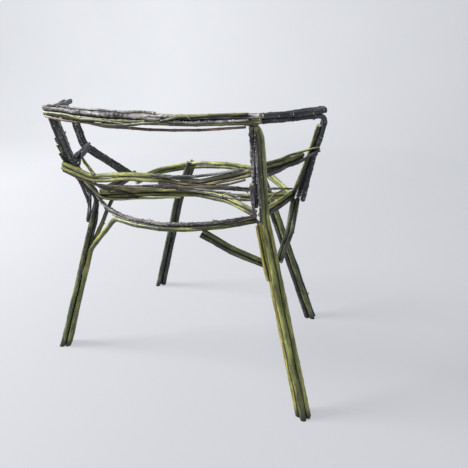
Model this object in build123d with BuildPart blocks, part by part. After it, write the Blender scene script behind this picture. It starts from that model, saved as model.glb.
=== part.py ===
"""Twig armchair: an open frame of green and knobbly rods, laid in bundles, notched and nailed.

Every rod is a piece of its own, and a bundle is a few rods laid side by side along one line.
Four splayed legs rise to a six-cornered seat frame, the rear legs run on as back posts, and a
back rail and two arms close the top. The chair faces -Y, and its right hand is -X.
"""
import os
from math import cos, radians, sin, tan

from build123d import *

os.makedirs("parts", exist_ok=True)

# ---- overall sizes, mm -----------------------------------------------------------------------
SEAT_HEIGHT = 434  # centre line of the seat frame at its rear corners
BACK_RISE = {-1: 216, 1: 220}  # the back rail's right and left ends above the seat frame
ARM_RISE = {-1: 210, 1: 216}  # an arm's front end above the seat frame
REAR_STANCE = 700  # between the rear feet
FRONT_STANCE = 540  # between the front feet
SEAT_REAR_WIDTH = 427  # seat frame across its rear corners
SEAT_SIDE_WIDTH = 490  # seat frame across its side corners, its widest
SEAT_FRONT_WIDTH = 238  # seat frame across its front corners
BACK_SPAN = 482  # between the tops of the back posts
ARM_SPAN = 654  # between the front ends of the arms

# ---- places from front to rear, with the middle of the chair at zero ---------------------------
REAR_FOOT_Y = 206
FRONT_FOOT_Y = -172
SEAT_REAR_Y = 105
SEAT_SIDE_Y = -57
SEAT_FRONT_Y = -184
BACK_RAIL_Y = 189
ARM_FRONT_Y = 47
SEAT_SKEW = -5  # the seat frame stands this far to the chair's right of its feet

# ---- the rods --------------------------------------------------------------------------------
LEG_BUTT = 14.0  # thick end of a leg rod, at the floor
LEG_TIP = 10.0
RAIL_BUTT = 11.5
RAIL_TIP = 9.0
TWIG_BUTT = 7.0
TWIG_TIP = 4.6
LEG = (LEG_BUTT, LEG_TIP)
RAIL = (RAIL_BUTT, RAIL_TIP)
TWIG = (TWIG_BUTT, TWIG_TIP)
LOOSE_SHARES = (0.07, 0.96)  # of the back rail, where its loose twig is tied
LOOSE_SAG = 15
NESTED = 0.43  # rod widths from a bundle's middle to its layers, where one rod lies on two
GAP = 0.35  # between two rods that lie side by side
FIT = 0.2  # between a notch and the rod that sits in it
SIDES = 10  # flats round a rod
FULLNESS = 1.01  # corner radius of the flats to the rod's nominal radius

# ---- shapes of the members -------------------------------------------------------------------
# the cross band's line from the left rear corner, in shares of the seat frame's plan, with its rise
BAND = [(0.965, 1.105, 8), (0.515, 0.66, 2), (-0.056, 0.438, 2), (-0.525, 0.574, 2)]
BAND_TO_SIDE = [(-0.843, 0.401, 2), (-1.068, 0.204, 2)]  # and from where it parts
BAND_TO_REAR = [(-0.712, 0.759, 2), (-0.984, 1.031, 4)]
REAR_RAIL_BOW = 66  # how far the rear seat rail bows out behind its corners
REAR_RAIL_SAG = 9
REAR_RAIL_SET = {-1: 12, 1: 26}  # its ends behind the seat frame's corners
REAR_RAIL_DROP = {-1: 8, 1: 22}  # its ends below the seat frame's centre line
FRONT_RAIL_DIP = 6  # the front rail below the seat frame, beside its front corners
FRONT_CORNER_RISE = 10
FRONT_RAIL_RISE = 19  # the front rail's crown above the seat frame
FRONT_SHOULDER = {-1: 5, 1: 42}  # bulge of the seat frame between its side and front corners
BACK_RAIL_BOW = 16
BACK_RAIL_SAG = 7
MID_RISE = 104  # the middle rails above the seat frame, at the posts
LEG_KNEE = {-1: 3, 1: 13}  # outward bow of a front leg
KNEE_DROP = 96  # a front leg's knee below the seat frame
POST_BELLY = {-1: (0, 0), 1: (34, 39)}  # the left front post bends out and back at its middle
REAR_POST_BELLY = {-1: (0, 0), 1: (8, 20)}  # and so does the left rear post
POST_SET = {-1: 0, 1: 9}  # a rear post bends this far outside its corner of the seat
POST_SPREAD = {-1: 8, 1: 0}  # the right front post's rods part towards their lower ends
EDGE_LIFT = {-1: -0.3, 1: 1.15}  # rail widths from the seat frame up to its side edges
BRACE_DROP = 104  # where the braces meet the rear legs, below the seat frame
HOOP_RADIUS = 24  # inside the bend of a rod that turns from post to rail
UNDER_RAIL = 3.5  # from the rods of a rail down to the ends of the rods that stop under it
KNOB_FOOT = 24  # a knobbly post rod starts this far above the seat frame
LEG_TOP = 12  # of a front leg's rods above the front rail
LEG_SET = {-1: 16, 1: 3}  # a front leg stands this far inside its corner of the front rail
MID_DROP = 30  # the middle back rail drops this far just inside the left post, then runs level
MID_DROP_RUN = 72
TWIG_DROPS = (12, 16, 24, 24)  # of the thin rod under the middle back rail, point by point
POST_STUB = {-1: 22, 1: 6}  # a front post's cut ends below the seat frame
STRUT_SHARE = 0.22  # of the cross band's first run, where the left leg's strut meets it
PARTING_DROP = 142  # below the seat frame, where the inner rods of the left rear leg part from it
ARM_SKEW = {-1: -6, 1: 0}  # the arms' front ends stand this far to the left of even
ARM_FRONT_STUB = {"outer": -8, "inner": 0}  # an arm's rods past the turn of its post
ARM_REAR_SHARE = 0.05  # of an arm's length, left between it and the back rail's end
RAIL_STUB = 14  # a rail's cut ends past its post

RIGHT, LEFT = -1, 1
BOTH = (RIGHT, LEFT)
HAND = {RIGHT: "right", LEFT: "left"}
UP = Vector(0, 0, 1)
BACK = Vector(0, 1, 0)
ACROSS = Vector(1, 0, 0)


# ---- laying out lines ------------------------------------------------------------------------
def between(start, end, share):
    return start + (end - start) * share


def at_height(line, height):
    """The point of a rising line at a height."""
    for low, high in zip(line, line[1:]):
        if height <= high.Z or high is line[-1]:
            return between(low, high, (height - low.Z) / (high.Z - low.Z))


def cut_at(line, height):
    """A rising line, ended at a height."""
    return [p for p in line if p.Z < height - 1] + [at_height(line, height)]


def bowed(start, end, push, count):
    """Points along a shallow arch from start to end, with push as its rise at the middle."""
    shares = [i / (count - 1) for i in range(count)]
    return [between(start, end, t) + push * (4 * t * (1 - t)) for t in shares]


def lengthened(line, before, after):
    """A line with its first and last runs made longer."""
    first = (line[0] - line[1]).normalized()
    last = (line[-1] - line[-2]).normalized()
    return [line[0] + first * before] + line[1:-1] + [line[-1] + last * after]


def runs(line):
    return [(b - a).normalized() for a, b in zip(line, line[1:])]


def square_to(way, face):
    return (face - way * face.dot(way)).normalized()


def carried(face, before, after):
    """A direction square to one run, turned with the bend to stay square to the next."""
    return face - (before + after) * (face.dot(after) / (1 + before.dot(after)))


def stations(line, face, upright=False):
    """Each point of a line, with its runs before and after and the face direction there.

    The face turns with the bends, or is set upright again on each run.
    """
    ways = runs(line)
    face = square_to(ways[0], face)
    found = [(line[0], ways[0], ways[0], face)]
    for point, before, after in zip(line[1:], ways, ways[1:]):
        found.append((point, before, after, face))
        face = square_to(after, UP) if upright else carried(face, before, after)
    return found + [(line[-1], ways[-1], ways[-1], face)]


def beside(line, face, out, along, butt, tip):
    """A line that runs beside another, mitred at its bends.

    out and along count rod widths, along face and square to it, so that a bundle closes up as
    its rods taper from butt to tip.
    """
    found = []
    last = len(line) - 1
    for i, (point, before, after, side) in enumerate(stations(line, face, face == UP)):
        width = butt + (tip - butt) * i / last + GAP
        shift = (side * out + before.cross(side) * along) * width
        mitre = (before + after).normalized()
        found.append(point + shift - before * (shift.dot(mitre) / before.dot(mitre)))
    return found


def softened(line, radius, sharp=40):
    """A line whose sharp corners are rounded, each by three points of an arc."""
    eased = [line[0]]
    for point, before, after in zip(line[1:], runs(line), runs(line)[1:]):
        turn = before.get_angle(after)
        if turn < sharp:
            eased.append(point)
            continue
        reach = radius * tan(radians(turn / 2))
        inward = (after - before).normalized()
        centre = point + inward * (radius / cos(radians(turn / 2)))
        eased += [point - before * reach, centre - inward * radius, point + after * reach]
    return eased + [line[-1]]


# ---- the rods, in the order they are laid: each is notched round those laid before it ------------
rods = {}


def lay(name, line, butt, tip):
    rods[name] = (line, butt, tip)


def corners(width, y, z, skew=0):
    return {s: Vector(s * width / 2 + skew, y, z) for s in BOTH}


foot_rear = corners(REAR_STANCE, REAR_FOOT_Y, 0)
foot_front = corners(FRONT_STANCE, FRONT_FOOT_Y, 0)
seat_rear = corners(SEAT_REAR_WIDTH, SEAT_REAR_Y, SEAT_HEIGHT, SEAT_SKEW)
seat_side = corners(SEAT_SIDE_WIDTH, SEAT_SIDE_Y, SEAT_HEIGHT, SEAT_SKEW)
seat_front = corners(SEAT_FRONT_WIDTH, SEAT_FRONT_Y, SEAT_HEIGHT + FRONT_CORNER_RISE)
post_top = {s: Vector(s * BACK_SPAN / 2, BACK_RAIL_Y, SEAT_HEIGHT + BACK_RISE[s]) for s in BOTH}
arm_front = {
    s: Vector(s * ARM_SPAN / 2 + ARM_SKEW[s], ARM_FRONT_Y, SEAT_HEIGHT + ARM_RISE[s]) for s in BOTH
}


def in_seat(across, back, rise):
    """A point from shares of the seat frame's rear half width, and of the way to its rear corners."""
    y = SEAT_SIDE_Y + back * (SEAT_REAR_Y - SEAT_SIDE_Y)
    return Vector(across * SEAT_REAR_WIDTH / 2, y, SEAT_HEIGHT + rise)


band = [in_seat(*share) for share in BAND]
rail_width = RAIL_BUTT + GAP
leg_width = LEG_BUTT + GAP
parting = SEAT_HEIGHT - PARTING_DROP
mid_height = SEAT_HEIGHT + MID_RISE
brace_foot = SEAT_HEIGHT - BRACE_DROP

# ---- rear legs: four rods each. The inner two end as a shoulder, the outer two run on as posts ---
OUTWARD = {s: Vector(s * cos(radians(30)), sin(radians(30)), 0) for s in BOTH}
AHEAD = {s: Vector(s * sin(radians(30)), -cos(radians(30)), 0) for s in BOTH}
rear_post = {}
for s in BOTH:
    bend = seat_rear[s] + OUTWARD[s] * POST_SET[s]
    belly = between(bend, post_top[s], 0.45) + Vector(s * REAR_POST_BELLY[s][0], REAR_POST_BELLY[s][1], 0)
    rear_post[s] = [foot_rear[s], bend, belly, post_top[s]]
shoulder = SEAT_HEIGHT - rail_width - UNDER_RAIL
under_back = {s: post_top[s].Z - rail_width - UNDER_RAIL for s in BOTH}
back_rail = bowed(post_top[LEFT], post_top[RIGHT], Vector(0, BACK_RAIL_BOW, -BACK_RAIL_SAG), 5)
rear_rail_ends = [
    seat_rear[s] - OUTWARD[s] * rail_width + BACK * REAR_RAIL_SET[s] - UP * REAR_RAIL_DROP[s] for s in BOTH
]
rear_rail = bowed(rear_rail_ends[1], rear_rail_ends[0], Vector(0, REAR_RAIL_BOW, -REAR_RAIL_SAG), 7)


def post_rod(side, out, ahead):
    """The full line of one rod in a rear leg and the post above it."""
    return beside(rear_post[side], OUTWARD[side], out, -side * ahead, *LEG)


for s in BOTH:
    lay(f"{HAND[s]}_rear_leg_outer_rear", cut_at(post_rod(s, 0.5, -0.5), under_back[s]), *LEG)
lay("left_rear_leg_outer_front", cut_at(post_rod(LEFT, 0.5, 0.5), under_back[LEFT]), *LEG)
for place, ahead in (("front", 0.5), ("rear", -0.5)):
    lay(f"right_rear_leg_inner_{place}", cut_at(post_rod(RIGHT, -0.5, ahead), shoulder), LEG_BUTT, RAIL_BUTT)

# one rod of the right leg turns at the top and runs on under the back rail
rise = post_rod(RIGHT, 0.5, 0.5)
under = beside(back_rail, UP, -0.5, -0.5, *RAIL)
turn = at_height(rise, under[-1].Z)
lay("right_rear_leg_hoop", softened(rise[:-1] + [turn] + under[1:-1][::-1], HOOP_RADIUS), LEG_BUTT, RAIL_TIP)

# the inner rods of the left leg part from it: one bends into the rear seat rail, one is a strut
rise = post_rod(LEFT, -0.5, -0.5)
along_rear = beside(rear_rail, UP, -NESTED, 0.5, *RAIL)
part_at = at_height(rise, parting)
lay("left_rear_leg_bent", softened([rise[0], part_at] + along_rear[1:], HOOP_RADIUS), LEG_BUTT, RAIL_TIP)
rise = post_rod(LEFT, -0.5, 0.5)
strut_top = between(band[0], band[1], STRUT_SHARE) - UP * (rail_width * 1.4)
lay("left_rear_leg_strut", [rise[0], at_height(rise, parting), strut_top], LEG_BUTT, RAIL_TIP)

# knobbly rods that stand against the posts
for s in BOTH:
    line = post_rod(s, -0.36, -0.95)
    kept = [p for p in line[1:-1] if p.Z > SEAT_HEIGHT + KNOB_FOOT]
    line = [at_height(line, SEAT_HEIGHT + KNOB_FOOT)] + kept + [at_height(line, under_back[s])]
    lay(f"{HAND[s]}_post_knobbly", line, *RAIL)

# ---- front legs: bundles that fork at the top to hold the front rail -----------------------------
front_shoulder = {
    s: between(seat_side[s], seat_front[s], 0.5)
    + Vector(s * cos(radians(40)), -sin(radians(40)), 0) * FRONT_SHOULDER[s]
    for s in BOTH
}
for s in BOTH:
    front_shoulder[s].Z = SEAT_HEIGHT - FRONT_RAIL_DIP
crown = Vector(0, SEAT_FRONT_Y, SEAT_HEIGHT + FRONT_RAIL_RISE)
side_inner = {s: seat_side[s] - ACROSS * (s * rail_width) - UP * rail_width for s in BOTH}
front_rail = [side_inner[LEFT], front_shoulder[LEFT], seat_front[LEFT], crown]
front_rail += [seat_front[RIGHT], front_shoulder[RIGHT], side_inner[RIGHT]]
FORK = (RAIL_BUTT + LEG_TIP + 2 * GAP) / 2 / (LEG_TIP + GAP)
for s in BOTH:
    head = seat_front[s] - ACROSS * (s * LEG_SET[s])
    knee = between(foot_front[s], head, (SEAT_HEIGHT - KNEE_DROP) / head.Z) + ACROSS * (s * LEG_KNEE[s])
    spine = lengthened([foot_front[s], knee, head], 0, LEG_TOP)
    slots = {"front_outer": (0.5, 0.5), "front_inner": (-0.5, 0.5), "rear_outer": (0.5, -0.5)}
    if s == RIGHT:
        slots["rear_inner"] = (-0.5, -0.5)
    for place, (out, ahead) in slots.items():
        forked = FORK if ahead > 0 else -FORK
        line = beside(spine, ACROSS * s, out, -s * ahead, *LEG)[:-1]
        line += beside(spine, ACROSS * s, out, -s * forked, *LEG)[-1:]
        lay(f"{HAND[s]}_front_leg_{place}", line, *LEG)

# ---- front posts: three rods each, one of which turns at the top and runs back as the arm --------
for s in BOTH:
    base = seat_side[s] + ACROSS * (s * rail_width * 0.5)
    belly = between(base, arm_front[s], MID_RISE / ARM_RISE[s])
    belly += Vector(s * POST_BELLY[s][0], POST_BELLY[s][1], 0)
    spine = lengthened([base, belly, arm_front[s]], POST_STUB[s], 0)
    arm_rear = between(post_top[s], arm_front[s], ARM_REAR_SHARE)
    arm = bowed(arm_rear, arm_front[s], Vector(0, 0, -2), 3)
    rise = beside(spine, ACROSS * s, 0.5, 0, *RAIL)
    rise[0] += ACROSS * (s * POST_SPREAD[s])
    back = beside(arm, UP, -NESTED, 0, *RAIL)
    turn = at_height(rise, back[-1].Z)
    hoop = rise[:-1] + [turn] + back[:-1][::-1]
    lay(f"{HAND[s]}_arm_hoop", softened(hoop, HOOP_RADIUS), *RAIL)
    for place, (out, ahead) in {"inner": (-0.5, 0), "front": (0, 0.87)}.items():
        line = beside(spine, ACROSS * s, out, -s * ahead, *RAIL)
        line[0] += ACROSS * (s * POST_SPREAD[s] * 2 * out)
        top = arm_front[s].Z - rail_width - (HOOP_RADIUS * 0.7 if place == "inner" else 4)
        lay(f"{HAND[s]}_front_post_{place}", cut_at(line, top), *RAIL)
    for place, out in {"outer": 0.5, "inner": -0.5}.items():
        line = lengthened(arm[::-1], ARM_FRONT_STUB[place], 0)
        line = beside(line, UP, NESTED, s * out, *RAIL)
        lay(f"{HAND[s]}_arm_{place}", line, *RAIL)

# ---- back rail ---------------------------------------------------------------------------------
slots = {"lower": (-0.5, 0.5), "upper_front": (0.5, -0.5), "upper_rear": (0.5, 0.5)}
for place, (up, rear) in slots.items():
    line = beside(lengthened(back_rail, RAIL_STUB, RAIL_STUB / 2), UP, up, rear, *RAIL)
    lay(f"back_rail_{place}", line, *RAIL)
loose = [between(post_top[LEFT], post_top[RIGHT], share) for share in LOOSE_SHARES]
loose = bowed(loose[0], loose[1], UP * -LOOSE_SAG, 5)
loose = [p - UP * (rail_width + TWIG_BUTT * 0.4) + BACK * 4 for p in loose]
lay("back_rail_loose", loose, *TWIG)

# ---- seat frame --------------------------------------------------------------------------------
line = beside(rear_rail, UP, -NESTED, -0.5, *RAIL)
lay("rear_rail_front", line, *RAIL)
inner_post = post_rod(LEFT, -0.6, -0.1)
knobbly_rise = [at_height(inner_post, under_back[LEFT]), inner_post[2]]
knobbly = beside(rear_rail, UP, NESTED, 0, *RAIL)
lay("rear_rail_knobbly", softened(knobbly_rise + knobbly, 14), TWIG_BUTT + 2, RAIL_TIP)
for place, up in (("upper", 0.5), ("lower", -0.5)):
    lay(f"front_rail_{place}", beside(front_rail, UP, up, 0, *RAIL), *RAIL)

for s in BOTH:
    lift = UP * (rail_width * EDGE_LIFT[s])
    start = seat_rear[s] - OUTWARD[s] * rail_width + AHEAD[s] * (rail_width * 0.9) + lift
    end = seat_side[s] - ACROSS * (s * rail_width) + lift * 0.8
    edge = bowed(start, end, ACROSS * (s * 2), 3)
    slots = {"outer": (-NESTED, 0.5), "inner": (-NESTED, -0.5), "top": (NESTED, 0)}
    for place, (up, out) in slots.items():
        lay(f"{HAND[s]}_edge_{place}", beside(edge, UP, up, -s * out, *RAIL), *RAIL)

# ---- cross band: four rods from the left rear corner, parting to both right corners --------------
for place, corner, front in (("side", BAND_TO_SIDE, 0.5), ("rear", BAND_TO_REAR, -0.5)):
    spine = band + [in_seat(*share) for share in corner]
    for level, up in (("upper", 0.5), ("lower", -0.5)):
        lay(f"band_{place}_{level}", beside(spine, UP, up, -front, *RAIL), *RAIL)

# ---- middle rails ------------------------------------------------------------------------------
for s in BOTH:
    start = at_height(rear_post[s], mid_height) - OUTWARD[s] * (rail_width * 0.6)
    front_post = [seat_side[s] + ACROSS * (s * rail_width * 0.5), arm_front[s]]
    end = at_height(front_post, mid_height) + Vector(s * POST_BELLY[s][0], POST_BELLY[s][1], 0)
    end -= ACROSS * (s * rail_width * 1.5)
    line = bowed(start, end, Vector(0, 0, -2), 3)
    for level, up in (("upper", 0.5), ("lower", -0.5)):
        lay(f"{HAND[s]}_middle_{level}", beside(line, UP, up, 0, *RAIL), *RAIL)

left_end = at_height(rear_post[LEFT], mid_height - 8) + BACK * (rail_width + 10) + ACROSS * 10
right_end = at_height(rear_post[RIGHT], mid_height) + ACROSS * (rail_width * 1.6)
dropped = left_end + Vector(-MID_DROP_RUN, -14, -MID_DROP)
level = bowed(dropped, between(dropped, right_end, 0.7) - UP * 20, Vector(0, -6, 8), 4)
middle = [left_end] + level + [right_end]
lay("back_middle_upper", beside(middle, UP, 0.5, 0, RAIL_BUTT - 1, RAIL_TIP), RAIL_BUTT - 1, RAIL_TIP)
lay("back_middle_lower", beside(middle, UP, -0.5, 0, RAIL_BUTT - 1, RAIL_TIP), RAIL_BUTT - 1, RAIL_TIP)

# three thin rods: one under the middle back rail, one from that rail's low point to the right front
# post, and one from the rail's left end to the left front post
under = [p - UP * drop for p, drop in zip(middle, TWIG_DROPS)]
lay("back_middle_twig", under, *TWIG)
crossing = [level[-1] - UP * 4 - BACK * 2, seat_side[RIGHT] + ACROSS * 8 + BACK * 12 + UP * 14]
lay("right_cross_twig", bowed(*crossing, Vector(0, 0, -4), 3), *TWIG)
link = [rods["left_middle_lower"][0][1] - UP * (rail_width * 0.8), dropped + UP * 12 - BACK * 4]
lay("left_link_twig", lengthened(link, 6, 10), TWIG_BUTT + 2, TWIG_BUTT)

# ---- braces ------------------------------------------------------------------------------------
for s in BOTH:
    start = seat_side[s] - ACROSS * (s * rail_width * 0.3) - UP * (rail_width * 1.3)
    end = at_height(rear_post[s], brace_foot) + AHEAD[s] * (leg_width * 1.3)
    brace = bowed(start, end, Vector(s * 6, 0, -6), 3)
    if s == LEFT:
        strut = rods["left_rear_leg_strut"][0]
        strut = [at_height(strut, parting - 60)] + strut[1:]
        lay("left_brace", beside(strut, AHEAD[LEFT], 0.93, 0, LEG_BUTT, RAIL_TIP), *RAIL)
        continue
    for place, out in (("outer", 0.5), ("inner", -0.5)):
        lay(f"{HAND[s]}_brace_{place}", beside(brace, ACROSS * s, out, 0, *RAIL), *RAIL)
start = between(rear_rail[4], rear_rail[5], 0.4) - UP * (rail_width * 1.4)
end = at_height(rear_post[RIGHT], brace_foot - 8) - OUTWARD[RIGHT] * (leg_width * 1.2)
brace = bowed(start, end, Vector(0, 4, -4), 3)
for place, up in (("upper", 0.5), ("lower", -0.5)):
    lay(f"rear_brace_{place}", beside(brace, UP, up, 0, *RAIL), *RAIL)

# ---- making the rods -----------------------------------------------------------------------------
HALF_WAY = 3  # runs lofted at once where a line turns right back, so that no loft does
FLOOR_LENGTH = 12  # a leg rod is made this much longer below, then cut flat at the floor
NAIL = 2.2  # square shank of a cut nail
NAIL_FIT = 0.1  # between a nail and its hole
NAIL_SINK = 0.8  # of a nail's head below the bark
NAIL_BITE = 2.5  # of a nail's point past the centre line of the second rod
HOLE_RUN = LEG_BUTT * 0.7  # from the first rod's centre line out to the start of a nail's hole


def loft_rod(line, butt, tip, extra=0.0):
    """A tapering rod along a line: many-sided sections, mitred at the bends, and lofted."""
    last = len(line) - 1
    start_face = UP if abs(runs(line)[0].Z) < 0.7 else BACK
    sections = []
    for i, (point, before, after, side) in enumerate(stations(line, start_face)):
        mitre = (before + after).normalized()
        side = side - before * (side.dot(mitre) / before.dot(mitre))
        with BuildSketch(Plane(origin=point, x_dir=side, z_dir=mitre)) as section:
            RegularPolygon((butt + (tip - butt) * i / last) / 2 * FULLNESS + extra, SIDES)
        sections.append(section.sketch)
    span = HALF_WAY if runs(line)[0].dot(runs(line)[-1]) < 0 else last
    for first in range(0, last, span):
        loft(sections[first:first + span + 1], ruled=True)


def rod_line(name):
    """A rod's line, run on below the floor where it stands there."""
    line, butt, tip = rods[name]
    return lengthened(line, FLOOR_LENGTH, 0) if line[0].Z < butt else line


gauges = {}


def gauge(name):
    """A rod grown by the fit of a notch, to cut the notches of those that cross it."""
    if name not in gauges:
        with BuildPart() as grown:
            loft_rod(rod_line(name), rods[name][1], rods[name][2], FIT)
        gauges[name] = grown.part
    return gauges[name]


wires = {name: Wire.make_polygon(line, close=False) for name, (line, butt, tip) in rods.items()}


def touches(name, other):
    reach = (rods[name][1] + rods[other][1]) / 2 + FIT
    return wires[name].distance_to(wires[other]) < reach


# ---- nails: square cut nails, driven where two rods cross ----------------------------------------
NAILED = [
    ("front_rail_lower", "left_front_leg_front_outer"),
    ("front_rail_lower", "right_front_leg_front_outer"),
    ("front_rail_upper", "left_front_leg_rear_outer"),
    ("right_brace_inner", "right_rear_leg_inner_front"),
    ("rear_brace_upper", "right_rear_leg_inner_rear"),
    ("rear_brace_upper", "rear_rail_front"),
    ("right_rear_leg_inner_rear", "rear_rail_front"),
    ("left_rear_leg_outer_rear", "back_rail_lower"),
    ("left_arm_outer", "back_rail_upper_front"),
    ("right_front_post_inner", "front_rail_lower"),
    ("right_front_post_inner", "right_edge_outer"),
    ("left_front_post_inner", "left_edge_outer"),
    ("left_front_post_inner", "left_middle_lower"),
    ("left_rear_leg_outer_front", "left_middle_lower"),
    ("left_rear_leg_outer_rear", "back_middle_upper"),
    ("right_post_knobbly", "right_middle_lower"),
    ("right_edge_inner", "band_side_upper"),
]


def nail_prism(first, second, width, before, past):
    """A square bar where two rods come closest, from before one centre line to past the other."""
    entry, target = wires[first].closest_points(wires[second])
    way = (target - entry).normalized()
    across = wires[first] @ 1 - wires[first] @ 0
    with BuildPart() as bar:
        start = Plane(origin=entry - way * before, x_dir=across - way * across.dot(way), z_dir=way)
        with BuildSketch(start):
            Rectangle(width, width)
        extrude(amount=before + (target - entry).length + past)
    return bar.part


hole = (NAIL + 2 * NAIL_FIT, HOLE_RUN, NAIL_BITE + NAIL_FIT)
nail_holes = [nail_prism(*pair, *hole) for pair in NAILED]
made = {}
for name, (line, butt, tip) in rods.items():
    earlier = [other for other in made if touches(name, other)]
    with BuildPart() as stick:
        loft_rod(rod_line(name), butt, tip)
        if line[0].Z < butt:
            split(bisect_by=Plane.XY, keep=Keep.TOP)
        for other in earlier:
            add(gauge(other), mode=Mode.SUBTRACT)
        add(stick.part.solids().sort_by(SortBy.VOLUME)[-1], mode=Mode.REPLACE)
        for hole in nail_holes:
            if wires[name].distance_to(hole) < butt / 2:
                add(hole, mode=Mode.SUBTRACT)
    made[name] = stick.part

with BuildPart() as cut_nails:
    for first, second in NAILED:
        add(nail_prism(first, second, NAIL, RAIL_TIP / 2 - NAIL_SINK, NAIL_BITE))
made["cut_nails"] = cut_nails.part

# ---- the chair stands on Z = 0 with its middle over the origin ---------------------------------
extent = made["cut_nails"].bounding_box()
for piece in made.values():
    extent = extent.add(piece.bounding_box())
to_middle = Location((-extent.center().X, -extent.center().Y, -extent.min.Z))
for name, piece in made.items():
    piece.move(to_middle)
    piece.label = name
    export_step(piece, f"parts/{name}.step")
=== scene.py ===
"""Looks of the twig armchair: every rod gets its bark, buds, snags and cut ends.

The sections follow the chair as it is put together. Sizes are in metres.
"""
from math import pi, radians

import bmesh
import bpy
import numpy as np
from mathutils import Matrix, Vector


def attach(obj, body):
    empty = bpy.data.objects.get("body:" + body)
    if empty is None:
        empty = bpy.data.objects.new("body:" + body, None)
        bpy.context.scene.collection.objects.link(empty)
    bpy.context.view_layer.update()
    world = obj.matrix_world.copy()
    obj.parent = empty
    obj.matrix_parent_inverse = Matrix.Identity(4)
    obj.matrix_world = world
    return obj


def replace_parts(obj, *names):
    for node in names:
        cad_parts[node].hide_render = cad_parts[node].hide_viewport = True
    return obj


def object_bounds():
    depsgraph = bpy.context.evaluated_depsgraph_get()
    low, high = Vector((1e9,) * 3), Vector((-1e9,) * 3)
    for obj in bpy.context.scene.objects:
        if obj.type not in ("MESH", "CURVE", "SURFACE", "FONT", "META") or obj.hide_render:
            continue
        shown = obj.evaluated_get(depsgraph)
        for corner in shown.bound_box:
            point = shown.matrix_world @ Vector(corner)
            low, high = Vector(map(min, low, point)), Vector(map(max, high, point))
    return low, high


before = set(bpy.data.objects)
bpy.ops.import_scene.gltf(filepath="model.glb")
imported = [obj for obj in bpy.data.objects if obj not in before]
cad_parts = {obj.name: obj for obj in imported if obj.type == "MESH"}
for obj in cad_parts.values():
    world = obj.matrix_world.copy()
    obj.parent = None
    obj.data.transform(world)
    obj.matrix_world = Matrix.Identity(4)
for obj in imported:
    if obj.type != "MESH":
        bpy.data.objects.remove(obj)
cad_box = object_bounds()
scene = bpy.context.scene

# ---- camera and studio ---------------------------------------------------------------------------
# A camera behind the chair's right rear leg, a little above the back rail and looking down,
# a pale floor that curves up into a pale backdrop, and one large soft lamp in a pale room.
CAMERA_PLACE = Vector((-0.5124, 0.8883, 0.7697))
CAMERA_PITCH = radians(24.15)  # below the horizon
CAMERA_HEADING = radians(180 + 24.5)
CAMERA_ROLL = radians(-2.26)
CAMERA_LENS = 32.33  # mm, on a sensor 36 mm wide
CAMERA_SENSOR = 36
CAMERA_FAR = 50  # the furthest that it sees

lens = bpy.data.cameras.new("camera")
lens.lens = CAMERA_LENS
lens.sensor_width = CAMERA_SENSOR
lens.clip_end = CAMERA_FAR
camera = bpy.data.objects.new("camera", lens)
turn = Matrix.Rotation(CAMERA_HEADING, 3, "Z") @ Matrix.Rotation(pi / 2 - CAMERA_PITCH, 3, "X")
camera.rotation_euler = (turn @ Matrix.Rotation(CAMERA_ROLL, 3, "Z")).to_euler()
camera.location = CAMERA_PLACE
scene.collection.objects.link(camera)
scene.camera = camera
scene.view_settings.view_transform = "Standard"


def node(tree, kind, inputs=None, **settings):
    """A node of a tree, with its settings, and a value or a socket for each input named."""
    made = tree.nodes.new(kind)
    for name, value in settings.items():
        setattr(made, name, value)
    for key, source in (inputs or {}).items():
        if isinstance(source, bpy.types.NodeSocket):
            tree.links.new(source, made.inputs[key])
        else:
            made.inputs[key].default_value = source
    return made


def number(tree, operation, *values):
    """Arithmetic on numbers or sockets."""
    return node(tree, "ShaderNodeMath", dict(enumerate(values)), operation=operation).outputs[0]


def seen_rays(tree):
    """One for camera, glossy and transmission rays, none for the light that falls on the chair."""
    rays = node(tree, "ShaderNodeLightPath").outputs
    seen = number(tree, "MAXIMUM", rays["Is Camera Ray"], rays["Is Glossy Ray"])
    return number(tree, "MAXIMUM", seen, rays["Is Transmission Ray"])


FLOOR_COLOUR = (0.50, 0.505, 0.52, 1)
FLOOR_ROUGHNESS = 0.85
BACKDROP_PAINTED_LIGHT = (0.82, 0.84, 0.875, 1)  # painted lamp light, towards the chair's left
BACKDROP_DIM = (0.55, 0.565, 0.605, 1)
PAINTED_LIGHT_SPAN_X = (-1.6, 2.0)  # in X, over which the painted light goes from dim to bright
NEAR_TO_FAR = (0.5, -2.5)  # in Y, where the glow rises to its far strength
FAR_STRENGTH = 1.13
MOTTLE_SCALE = 1.3
MOTTLE = (0.96, 1.04)  # the glow's strength in the floor's darker and paler clouds
EVEN_SHARE = 0.72  # of what the camera sees of the floor, lit evenly


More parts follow.
